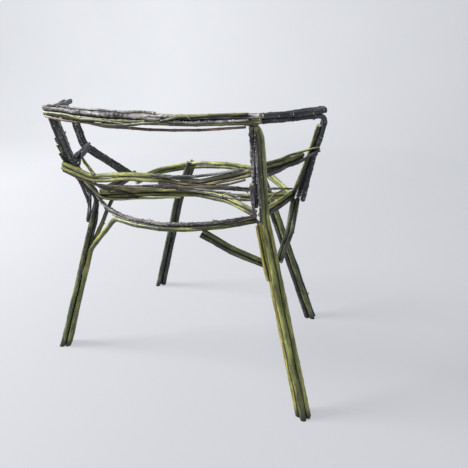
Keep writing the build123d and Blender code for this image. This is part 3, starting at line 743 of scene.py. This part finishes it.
def grow_bark(name, rings, paint, seed, changes):
    """A finished rod or twig along its rings, riding on the chair."""
    place, girth, swell, at_bud = rings
    mesh = bpy.data.meshes.new(name + "_bark")
    mesh.from_pydata(place.tolist(), [(i, i + 1) for i in range(len(place) - 1)], [])
    for label, kind, values in (
        ("girth", "FLOAT", girth), ("swell", "FLOAT", swell), ("bud", "BOOLEAN", at_bud),
        ("bud_number", "FLOAT", np.cumsum(at_bud).astype(float)),
    ):
        mesh.attributes.new(label, kind, "POINT").data.foreach_set("value", values)
    rod = bpy.data.objects.new(name + "_bark", mesh)
    scene.collection.objects.link(rod)
    grow = rod.modifiers.new("bark", "NODES")
    grow.node_group = bark_tree
    settings = dict(PLAIN_BARK, **changes)
    settings.update({"Seed": float(seed), "On Floor": float(place[0, 2] < FOOT_HEIGHT), "Bark": paint,
                     "Cut Wood": CUT_WOOD, "Bud": BUD})
    for item in bark_tree.interface.items_tree:
        if item.in_out == "INPUT" and item.name in settings:
            grow[item.identifier] = settings[item.name]
    bpy.context.view_layer.update()
    grown = bpy.data.meshes.new_from_object(rod.evaluated_get(bpy.context.evaluated_depsgraph_get()))
    skin = np.array([v.co for v in grown.vertices])
    grown.vertices.foreach_set("co", np.clip(skin, *np.array(cad_box)).ravel())
    rod.modifiers.clear()
    rod.data = grown
    bpy.data.meshes.remove(mesh)
    laid.append((rod, place, girth))
    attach(rod, "root")
    return rod


def dress(name, paint, slot, seed, **changes):
    """A finished rod in place of its solid."""
    rings = smooth_rod(name, np.random.default_rng(seed))
    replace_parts(grow_bark(name, rings, paint, seed, changes), name)


OCHRE = bark_paint(
    "ochre_bark", light=(0.42, 0.36, 0.09), middle=(0.27, 0.27, 0.06), dark=(0.069, 0.055, 0.025),
    dots=(0.16, 0.07, 0.035), dot_share=0.24, streaks=0.35, roughness=0.42, blotches=0.35,
)
OLIVE = bark_paint(
    "olive_bark", light=(0.24, 0.25, 0.08), middle=(0.12, 0.14, 0.045), dark=(0.022, 0.024, 0.018),
    dots=(0.36, 0.3, 0.2), dot_share=0.12, streaks=0.4, roughness=0.42, blotches=0.5,
)
MOSS = bark_paint(
    "moss_bark", light=(0.31, 0.33, 0.1), middle=(0.17, 0.19, 0.055), dark=(0.028, 0.031, 0.016),
    dots=(0.34, 0.26, 0.15), dot_share=0.12, streaks=0.35, roughness=0.42, blotches=0.45,
)
DARK_GREEN = bark_paint(
    "dark_green_bark", light=(0.13, 0.145, 0.075), middle=(0.06, 0.069, 0.044), dark=(0.015, 0.016, 0.017),
    dots=(0.34, 0.31, 0.26), dot_share=0.1, streaks=0.5, roughness=0.45, blotches=0.6,
)
DARK = bark_paint(
    "dark_bark", light=(0.095, 0.095, 0.07), middle=(0.042, 0.043, 0.038), dark=(0.012, 0.012, 0.014),
    dots=(0.5, 0.48, 0.44), dot_share=0.12, streaks=0.6, roughness=0.48, blotches=0.8,
)
OLIVE_TO_DARK = bark_paint(
    "olive_to_dark_bark", light=(0.19, 0.2, 0.07), middle=(0.095, 0.11, 0.04), dark=(0.02, 0.021, 0.019),
    dots=(0.42, 0.4, 0.3), dot_share=0.1, streaks=0.5, roughness=0.45, blotches=0.6,
    aged=((0.03, 0.03, 0.032), 0.42, 0.58),
)
GREEN_TO_DARK = bark_paint(
    "green_to_dark_bark", light=(0.34, 0.36, 0.09), middle=(0.18, 0.2, 0.045), dark=(0.029, 0.032, 0.015),
    dots=(0.3, 0.24, 0.15), dot_share=0.1, streaks=0.35, roughness=0.42, blotches=0.4,
    aged=((0.06, 0.07, 0.03), 0.5, 0.62),
)
LEG_TO_POST = bark_paint(
    "leg_to_post_bark", light=(0.4, 0.41, 0.125), middle=(0.23, 0.25, 0.067), dark=(0.045, 0.05, 0.024),
    dots=(0.2, 0.12, 0.06), dot_share=0.12, streaks=0.32, roughness=0.4, blotches=0.4,
    aged=((0.52, 0.52, 0.24), 0.42, 0.6),
)

dress("right_rear_leg_inner_rear", OCHRE, "green_bark", 1)
dress("right_rear_leg_inner_front", DARK_GREEN, "green_bark", 2)
dress("right_rear_leg_outer_rear", MOSS, "green_bark", 3)
dress("right_rear_leg_hoop", LEG_TO_POST, "green_bark", 4)
dress("left_rear_leg_outer_rear", OLIVE_TO_DARK, "green_bark", 5)
dress("left_rear_leg_outer_front", DARK, "dark_bark", 6)
dress("left_rear_leg_bent", GREEN_TO_DARK, "green_bark", 7)
dress("left_rear_leg_strut", OLIVE, "green_bark", 8)

# ---- knobbly rods of the back posts and the seat's rear rail --------------------------------------
# Grey and blackish rods with raised corky scars, nailed to the outside of the back posts and laid,
# curling over from the left rear leg, along the seat's rear edge.
PURPLE_GREY = bark_paint(
    "purple_grey_bark", light=(0.46, 0.42, 0.43), middle=(0.19, 0.168, 0.172), dark=(0.018, 0.016, 0.019),
    dots=(0.84, 0.81, 0.79), dot_share=0.55, streaks=0.6, roughness=0.55,
)
BLACKISH = bark_paint(
    "blackish_bark", light=(0.105, 0.105, 0.112), middle=(0.036, 0.036, 0.041), dark=(0.009, 0.009, 0.012),
    dots=(0.7, 0.69, 0.66), dot_share=0.22, streaks=0.6, roughness=0.48,
)
KNOBBLY_TO_PALE = bark_paint(
    "knobbly_to_pale_bark", light=(0.22, 0.2, 0.195), middle=(0.07, 0.062, 0.063), dark=(0.021, 0.019, 0.021),
    dots=(0.76, 0.74, 0.7), dot_share=0.28, streaks=0.5, roughness=0.6, blotches=0.7,
    aged=((0.44, 0.42, 0.4), 0.6, 0.72),
)
KNOBBLY_BARK = {"Lumps": 0.0012, "Knobs": 0.0015, "Knob Spacing": 0.009, "Swelling": 0.0009,
                "Snag Share": 0.3}
DARK_KNOBBLY = {"Lumps": 0.0010, "Knobs": 0.0009, "Knob Spacing": 0.008, "Swelling": 0.0007,
                "Snag Share": 0.4}
dress("right_post_knobbly", PURPLE_GREY, "knobbly_bark", 11, **KNOBBLY_BARK)
dress("left_post_knobbly", BLACKISH, "knobbly_bark", 12, **DARK_KNOBBLY)
dress("rear_rail_knobbly", KNOBBLY_TO_PALE, "knobbly_bark", 13, **KNOBBLY_BARK)

# ---- rods of the front legs ----------------------------------------------------------------------
# Three or four dark and olive rods to a leg, which splay out from the seat's front corners and are
# nailed to the front rail and to each other.
for seed, (name, paint, slot) in enumerate((
    ("right_front_leg_front_outer", DARK, "dark_bark"),
    ("right_front_leg_front_inner", DARK_GREEN, "green_bark"),
    ("right_front_leg_rear_outer", OLIVE, "green_bark"),
    ("right_front_leg_rear_inner", DARK, "dark_bark"),
    ("left_front_leg_front_outer", DARK_GREEN, "green_bark"),
    ("left_front_leg_front_inner", DARK, "dark_bark"),
    ("left_front_leg_rear_outer", DARK_GREEN, "green_bark"),
), 21):
    dress(name, paint, slot, seed)

# ---- rods of the front posts and arms ------------------------------------------------------------
# A dark rod, bent while it is green, makes each front post and turns over into the arm. Shorter rods
# are nailed beside it, and the one inside the right post is olive.
for seed, name in enumerate((
    "right_arm_hoop", "right_arm_outer", "right_arm_inner", "right_front_post_front",
    "left_arm_hoop", "left_arm_outer", "left_arm_inner", "left_front_post_front", "left_front_post_inner",
), 31):
    dress(name, BLACKISH, "dark_bark", seed, **DARK_KNOBBLY)
dress("right_front_post_inner", OLIVE, "green_bark", 41)

# ---- rods of the back rail -----------------------------------------------------------------------
# Three bowed rods, one of them grey and knobbly, are nailed over the tops of the back posts. A thin
# loose twig, brown and smooth, sags under them.
KNOBBLY = bark_paint(
    "knobbly_bark", light=(0.38, 0.36, 0.345), middle=(0.13, 0.115, 0.112), dark=(0.032, 0.027, 0.029),
    dots=(0.74, 0.72, 0.68), dot_share=0.3, streaks=0.6, roughness=0.6,
)
BROWN = bark_paint(
    "brown_bark", light=(0.36, 0.27, 0.17), middle=(0.2, 0.13, 0.085), dark=(0.069, 0.044, 0.032),
    dots=(0.62, 0.55, 0.46), dot_share=0.2, streaks=0.5, roughness=0.45,
)
THIN_BARK = {"Lumps": 0.0006, "Swelling": 0.0004, "Bud Size": 0.0006}
dress("back_rail_upper_rear", KNOBBLY, "knobbly_bark", 51, **KNOBBLY_BARK)
dress("back_rail_upper_front", MOSS, "green_bark", 52)
dress("back_rail_lower", MOSS, "green_bark", 53)
dress("back_rail_loose", BROWN, "brown_bark", 54, **THIN_BARK)

# ---- rods of the seat frame ----------------------------------------------------------------------
# Two rods bowed backwards make the seat's rear edge, two yellow-green and olive ones its front edge
# and three each side. They are nailed to the legs and to each other at the corners.
YELLOW_GREEN = bark_paint(
    "yellow_green_bark", light=(0.42, 0.43, 0.13), middle=(0.24, 0.26, 0.07), dark=(0.05, 0.055, 0.026),
    dots=(0.2, 0.12, 0.06), dot_share=0.12, streaks=0.32, roughness=0.4, blotches=0.4,
)
for seed, (name, paint, slot) in enumerate((
    ("rear_rail_front", DARK, "dark_bark"), ("front_rail_upper", YELLOW_GREEN, "green_bark"),
    ("front_rail_lower", OLIVE, "green_bark"), ("right_edge_outer", DARK, "dark_bark"),
    ("right_edge_inner", OLIVE, "green_bark"), ("right_edge_top", YELLOW_GREEN, "green_bark"),
    ("left_edge_outer", DARK, "dark_bark"), ("left_edge_inner", DARK, "dark_bark"),
    ("left_edge_top", DARK, "dark_bark"),
), 61):
    dress(name, paint, slot, seed)

# ---- rods of the cross band ----------------------------------------------------------------------
# Two pairs of springy pale green rods cross the seat from side to side, bowed and tied in at its
# rear corners.
PALE_GREEN = bark_paint(
    "pale_green_bark", light=(0.56, 0.55, 0.27), middle=(0.32, 0.33, 0.14), dark=(0.05, 0.053, 0.03),
    dots=(0.62, 0.56, 0.42), dot_share=0.16, streaks=0.34, roughness=0.42, blotches=0.35,
)
dress("band_side_upper", PALE_GREEN, "green_bark", 71)
dress("band_side_lower", PALE_GREEN, "green_bark", 72)
dress("band_rear_upper", PALE_GREEN, "green_bark", 73)
dress("band_rear_lower", MOSS, "green_bark", 74)

# ---- rods of the middle rails --------------------------------------------------------------------
# Pairs of rods half way up the posts, green along the back, olive and black under the right arm, and
# black under the left one. Their ends are nailed to the posts that they pass.
GREEN_TO_GREY = bark_paint(
    "green_to_grey_bark", light=(0.46, 0.47, 0.16), middle=(0.28, 0.31, 0.08), dark=(0.078, 0.078, 0.03),
    dots=(0.62, 0.58, 0.46), dot_share=0.1, streaks=0.3, roughness=0.45, blotches=0.35,
    aged=((0.12, 0.1, 0.08), 0.56, 0.68),
)
BLACK = bark_paint(
    "black_bark", light=(0.055, 0.055, 0.062), middle=(0.022, 0.022, 0.026), dark=(0.008, 0.008, 0.011),
    dots=(0.6, 0.59, 0.57), dot_share=0.14, streaks=0.6, roughness=0.46,
)
dress("back_middle_upper", GREEN_TO_GREY, "green_bark", 81)
dress("back_middle_lower", GREEN_TO_GREY, "green_bark", 82)
dress("right_middle_upper", OLIVE, "green_bark", 83)
dress("right_middle_lower", BLACKISH, "dark_bark", 84, **DARK_KNOBBLY)
dress("left_middle_upper", BLACK, "dark_bark", 85)
dress("left_middle_lower", BLACK, "dark_bark", 86)

# ---- thin twigs ----------------------------------------------------------------------------------
# Loose ends of brush worked in by hand: one under the middle back rail, one across the seat's right
# half, and a short link from the left middle rail down to the back one.
dress("back_middle_twig", BROWN, "brown_bark", 87, **THIN_BARK)
dress("right_cross_twig", KNOBBLY, "knobbly_bark", 88, **dict(THIN_BARK, Knobs=0.0007))
dress("left_link_twig", YELLOW_GREEN, "green_bark", 89, **THIN_BARK)

# ---- brush laid over the bundles -----------------------------------------------------------------
# Thinner twigs that the maker wound in beside the rods and tucked under them, each held by the rods
# that it passes: along the rails and the cross band, at the corners, and beside a post and a leg.
GREY_TWIG = {"Knobs": 0.0008, "Knob Spacing": 0.007, "Snag Share": 0.5}
TWIG_WANDER = 0.0012  # small kinks of a twig, off its eased course
TWIG_TAPER = 0.7  # a twig's tip to its thick end
TWIG_EASE = 14  # rounds of easing of the bends between its stops


def lay_twig(name, passed, thick, paint, slot, seed, **changes):
    """A twig, of a radius at its thick end, that passes by rods.

    Each rod passed has stops on it: a share of its length, and the way across and up from there to
    the twig. Where that way is one long, the two touch.
    """
    place = []
    for rod, *stops in passed:
        line, radii = rod_lines[rod]
        for share, *side in stops:
            i = round(share * (len(line) - 1))
            place.append(line[i] + np.array(side) * (radii[i] + thick))
    place = np.array(place)
    along = lengths(place)
    even = np.linspace(0, along[-1], int(along[-1] / STEP) + 4)
    eased = ease(between(even, along, place), TWIG_EASE)
    along = lengths(eased)
    taper = ((TWIG_TAPER - 1) * thick / along[-1], thick)
    rings = rings_along(along, eased, taper, TWIG_WANDER, np.random.default_rng(seed))
    grow_bark(name, rings, paint, seed, dict(THIN_BARK, **changes))


lay_twig("back_rail_crossing_twig", (
    ("back_rail_lower", (0.66, 0, 0.4, -0.95), (0.54, 0, 0.7, -0.85), (0.42, 0, 1.1, 0)),
    ("back_rail_upper_rear", (0.30, 0, 1.0, 0.2), (0.20, 0, 0.8, 0.6), (0.04, 0, 0.7, 0.7)),
), 0.0034, OLIVE, "green_bark", 101)
lay_twig("back_rail_grey_twig", (
    ("back_rail_upper_rear", (0.98, 0, 0.3, 0.95), (0.86, 0, 0, 1.0), (0.70, 0, -0.5, 0.9),
     (0.52, 0, -0.3, 0.95), (0.40, 0, 0.2, 1.0)),
), 0.0031, KNOBBLY, "knobbly_bark", 102, **GREY_TWIG)
lay_twig("back_rail_pale_twig", (
    ("back_rail_lower", (0.98, 0, 0.8, -0.6), (0.84, 0, 0.5, -0.9), (0.70, 0, 0.3, -0.95),
     (0.57, 0, 0.1, -1.2)),
), 0.0026, BROWN, "brown_bark", 103)
lay_twig("back_rail_knobbly_twig", (
    ("back_rail_upper_rear", (0.46, 0, 1.0, -0.1)),
    ("back_rail_lower", (0.30, 0, 1.0, 0.3), (0.16, 0, 1.0, 0.25), (0.03, 0, 0.9, 0.5)),
), 0.0032, KNOBBLY, "knobbly_bark", 104, **GREY_TWIG)
lay_twig("back_rail_side_twig", (
    ("back_rail_lower", (0.95, 0, 0.95, 0.4), (0.80, 0, 1.0, 0.25), (0.62, 0, 1.05, 0.1),
     (0.50, 0, 0.9, -0.5)),
), 0.0030, OLIVE, "green_bark", 105)
lay_twig("back_middle_grey_twig", (
    ("back_middle_upper", (0.50, 0, 0.8, 0.5), (0.34, 0, 0.7, 0.75), (0.18, 0, 0.4, 0.95),
     (0.04, 0, 0.2, 1.0)),
), 0.0034, KNOBBLY, "knobbly_bark", 106, **GREY_TWIG)
lay_twig("back_middle_side_twig", (
    ("back_middle_lower", (0.46, 0, 0.9, -0.5), (0.30, 0, 0.8, -0.7), (0.14, 0, 0.5, -0.9),
     (0.02, 0, 0.3, -1.0)),
), 0.0030, BROWN, "brown_bark", 107)
lay_twig("post_to_middle_twig", (
    ("back_middle_twig", (0.20, 0, -0.9, 0.4), (0.02, 0, 0, 1.0)),
    ("right_rear_leg_outer_rear", (0.735, 1.5, -1.0, 0), (0.735, 0.3, -1.3, 0)),
), 0.0021, KNOBBLY, "knobbly_bark", 108, **GREY_TWIG)
lay_twig("right_post_side_twig", (
    ("right_rear_leg_outer_rear", (0.66, 0.2, 1.0, 0.2), (0.78, 0.1, 1.0, 0.2),
     (0.88, 0.1, 1.0, 0.2), (0.985, 0.1, 1.0, 0.2)),
), 0.0026, PURPLE_GREY, "knobbly_bark", 109, **GREY_TWIG)
lay_twig("right_edge_curly_twig", (
    ("right_edge_top", (1.0, 0.4, 0.3, 0.9), (0.72, 0.5, 0, 2.0), (0.40, 0.3, 0, 3.2),
     (0.14, 0.2, 0, 2.6), (0.0, 0.2, 0, 1.2)),
), 0.0022, OLIVE, "green_bark", 110)
lay_twig("band_green_twig", (
    ("band_rear_upper", (0.94, 0, 0.9, 0.5), (0.72, 0, 0.9, 0.4), (0.50, 0, 0.95, 0.3),
     (0.28, 0, 0.9, 0.5), (0.02, 0.3, 0.8, 0.6)),
), 0.0032, YELLOW_GREEN, "green_bark", 111)
lay_twig("band_grey_twig", (
    ("band_rear_upper", (0.66, 0, 0.2, 1.0), (0.46, 0, 0.3, 0.95), (0.26, 0, 0.1, 1.2),
     (0.12, 0, 0.2, 1.6)),
), 0.0034, KNOBBLY, "knobbly_bark", 112, **GREY_TWIG)
lay_twig("band_dark_twig", (
    ("band_side_upper", (0.97, 0, 0, 1.0), (0.66, 0, -0.2, 1.0), (0.40, 0, 0.1, 1.0),
     (0.06, 0.2, 0.3, 1.0)),
), 0.0034, BLACKISH, "dark_bark", 113, **GREY_TWIG)
lay_twig("rear_rail_pale_twig", (
    ("rear_rail_knobbly", (0.56, 0, 0.8, -0.8), (0.42, 0, 0.85, -0.7), (0.26, 0, 0.8, -0.75),
     (0.10, 0, 0.9, -0.5), (0.01, 0, 0.9, 0)),
), 0.0026, BROWN, "brown_bark", 114)
lay_twig("left_corner_grey_twig", (
    ("left_rear_leg_outer_rear", (0.62, 0.5, 0.9, 0), (0.70, -0.1, 1.1, 0)),
    ("left_post_knobbly", (0.78, -0.9, 0.7, 0), (0.55, -1.0, 0.3, 0)),
), 0.0030, PURPLE_GREY, "knobbly_bark", 115, **GREY_TWIG)
lay_twig("left_corner_dark_twig", (
    ("left_rear_leg_outer_rear", (0.57, 1.0, 0.1, 0), (0.64, 1.1, 0.3, 0), (0.74, 1.0, 0.5, 0),
     (0.90, 1.0, 0.2, 0)),
), 0.0042, BLACKISH, "dark_bark", 117, **GREY_TWIG)
lay_twig("left_corner_inner_twig", (
    ("left_rear_leg_outer_front", (0.44, -1.0, 0.3, 0), (0.56, -1.6, 0.5, 0), (0.66, -1.2, 0.9, 0)),
    ("left_post_knobbly", (0.80, -1.0, 0.4, 0)),
), 0.0040, BLACKISH, "dark_bark", 118, **GREY_TWIG)
lay_twig("left_corner_outer_twig", (
    ("left_rear_leg_outer_front", (0.58, 0.9, 0.9, 0), (0.68, 1.1, 0.8, 0), (0.80, 1.0, 0.6, 0),
     (0.93, 0.9, 0.7, 0)),
), 0.0040, BLACKISH, "dark_bark", 124, **GREY_TWIG)
lay_twig("left_corner_back_twig", (
    ("left_rear_leg_outer_rear", (0.60, -0.7, 1.0, 0), (0.68, -0.9, 0.9, 0), (0.78, -0.2, 1.3, 0),
     (0.88, 0.3, 1.2, 0)),
), 0.0038, DARK, "dark_bark", 125, **GREY_TWIG)
lay_twig("left_band_end_twig", (
    ("left_post_knobbly", (0.62, -0.2, 1.1, 0), (0.86, -1.2, 0.9, 0)),
    ("band_rear_upper", (0.86, 0, 1.3, 0.3)),
    ("band_rear_lower", (0.78, 0, 1.0, -0.6)),
), 0.0036, DARK, "dark_bark", 119, **GREY_TWIG)
lay_twig("left_band_green_twig", (
    ("left_post_knobbly", (0.82, -0.6, 1.2, 0)),
    ("band_rear_lower", (0.98, 0, 1.0, -0.3), (0.80, 0, 0.9, -0.6), (0.55, 0, 0.9, -0.6)),
), 0.0036, PALE_GREEN, "green_bark", 126)
lay_twig("left_band_top_twig", (
    ("left_post_knobbly", (0.70, -0.8, 1.1, 0)),
    ("band_rear_upper", (0.98, 0, 0.5, 0.9), (0.82, 0, 0.4, 0.95), (0.62, 0, 0.2, 1.0)),
), 0.0034, OLIVE, "green_bark", 127)
lay_twig("left_middle_side_twig", (
    ("left_middle_upper", (0.02, -0.9, 0, 0.5), (0.32, -1.0, 0, 0.1), (0.66, -1.1, 0, 0.2)),
    ("left_post_knobbly", (0.60, -1.0, -0.4, 0)),
), 0.0032, BLACK, "dark_bark", 116, **GREY_TWIG)
lay_twig("right_middle_top_twig", (
    ("right_middle_upper", (0.96, 0.3, 0, 0.95), (0.60, 0.1, 0, 1.0), (0.16, -0.2, 0, 1.0)),
    ("right_front_post_inner", (0.28, -0.2, 0.9, 0.5)),
    ("right_arm_hoop", (0.42, -0.9, 0.9, 0.3)),
), 0.0034, OLIVE, "green_bark", 120)
lay_twig("right_middle_side_twig", (
    ("right_middle_lower", (0.90, -1.0, 0, -0.2), (0.50, -1.0, 0, 0), (0.10, -1.1, 0, 0)),
    ("right_front_post_inner", (0.30, -0.9, 0.8, 0)),
    ("right_arm_hoop", (0.40, -1.0, 0.5, 0)),
), 0.0042, BLACKISH, "dark_bark", 121, **DARK_KNOBBLY)
lay_twig("right_post_foot_twig", (
    ("right_post_knobbly", (0.66, 0.3, 1.0, 0), (0.90, 0.3, 1.0, 0), (1.0, 0.2, 0.8, -1.0)),
    ("rear_rail_knobbly", (0.0, 0, 1.1, 0)),
), 0.0040, PURPLE_GREY, "knobbly_bark", 122, **KNOBBLY_BARK)
lay_twig("right_leg_ochre_twig", (
    ("right_rear_leg_inner_rear", (0.71, 0.6, 0.42, 0), (0.80, 0.65, 0.75, 0), (0.98, 0.4, 1.0, 0)),
), 0.0036, OCHRE, "green_bark", 123)

# ---- rods of the braces --------------------------------------------------------------------------
# Short dark green and olive rods run from the legs up to the seat's rails and are nailed at both
# ends. The right and rear ones are pairs, laid side by side.
for seed, name in enumerate(("right_brace_outer", "right_brace_inner", "left_brace"), 91):
    dress(name, DARK_GREEN, "green_bark", seed)
dress("rear_brace_upper", OLIVE, "green_bark", 94)
dress("rear_brace_lower", DARK_GREEN, "green_bark", 95)

# ---- nails ---------------------------------------------------------------------------------------
# Square cut nails of dull steel, a little rusty, driven through the upper rod of a joint into the
# one under it.
steel, steel_tree, steel_shader = paint_tree("nail_steel", roughness=0.5)
steel_shader.inputs["Metallic"].default_value = 0.8
rust = ramp(steel_tree, clouds(steel_tree, 500), 0.45, 0.62)
steel_colour = mixed(steel_tree, rust, (0.20, 0.20, 0.21), (0.12, 0.055, 0.03))
steel_tree.links.new(steel_colour, steel_shader.inputs["Base Color"])
for held_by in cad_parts["cut_nails"].material_slots:
    held_by.material = steel

# ---- painted shade between the rods --------------------------------------------------------------
# Painted shade darkens the bark where rods lie side by side or cross, reaching furthest low down.
# Each rod's points get a value for its paint: one where another rod's bark touches, none clear of it.
GAP_SHADE_REACH = (0.0062, 0.0034)  # from one rod's bark to the next, where the painted shade ends: at a foot, at the seat
SEAT_HEIGHT = 0.43
EVERY_RING = 2  # one ring in two is measured to
NEAR_BY = 0.012  # round a rod's box, outside which no other rod is near enough to shade its bark
AT_ONCE = 150  # rings measured in one go, to spare memory
centres = np.vstack([place[::EVERY_RING] for _, place, _ in laid])
girths = np.concatenate([girth[::EVERY_RING] for _, _, girth in laid])
owners = np.concatenate([np.full(len(place[::EVERY_RING]), i) for i, (_, place, _) in enumerate(laid)])
for i, (rod, _, _) in enumerate(laid):
    skin = np.array([v.co for v in rod.data.vertices], dtype=np.float32)
    near = (centres > skin.min(0) - NEAR_BY).all(1) & (centres < skin.max(0) + NEAR_BY).all(1)
    near &= owners != i
    gap = np.full(len(skin), 1.0)
    for some in np.array_split(np.flatnonzero(near), 1 + near.sum() // AT_ONCE):
        if len(some):
            apart = np.linalg.norm(skin[:, None] - centres[some].astype(np.float32), axis=2)
            gap = np.minimum(gap, (apart - girths[some]).min(1))
    # strength of the painted shade: one where another rod touches, none clear of it
    gap_shade_layer = rod.data.attributes.new("gap_shade", "FLOAT", "POINT")
    reach = np.interp(skin[:, 2], (0.0, SEAT_HEIGHT), GAP_SHADE_REACH)
    gap_shade_layer.data.foreach_set("value", np.clip(1 - gap / reach, 0, 1))
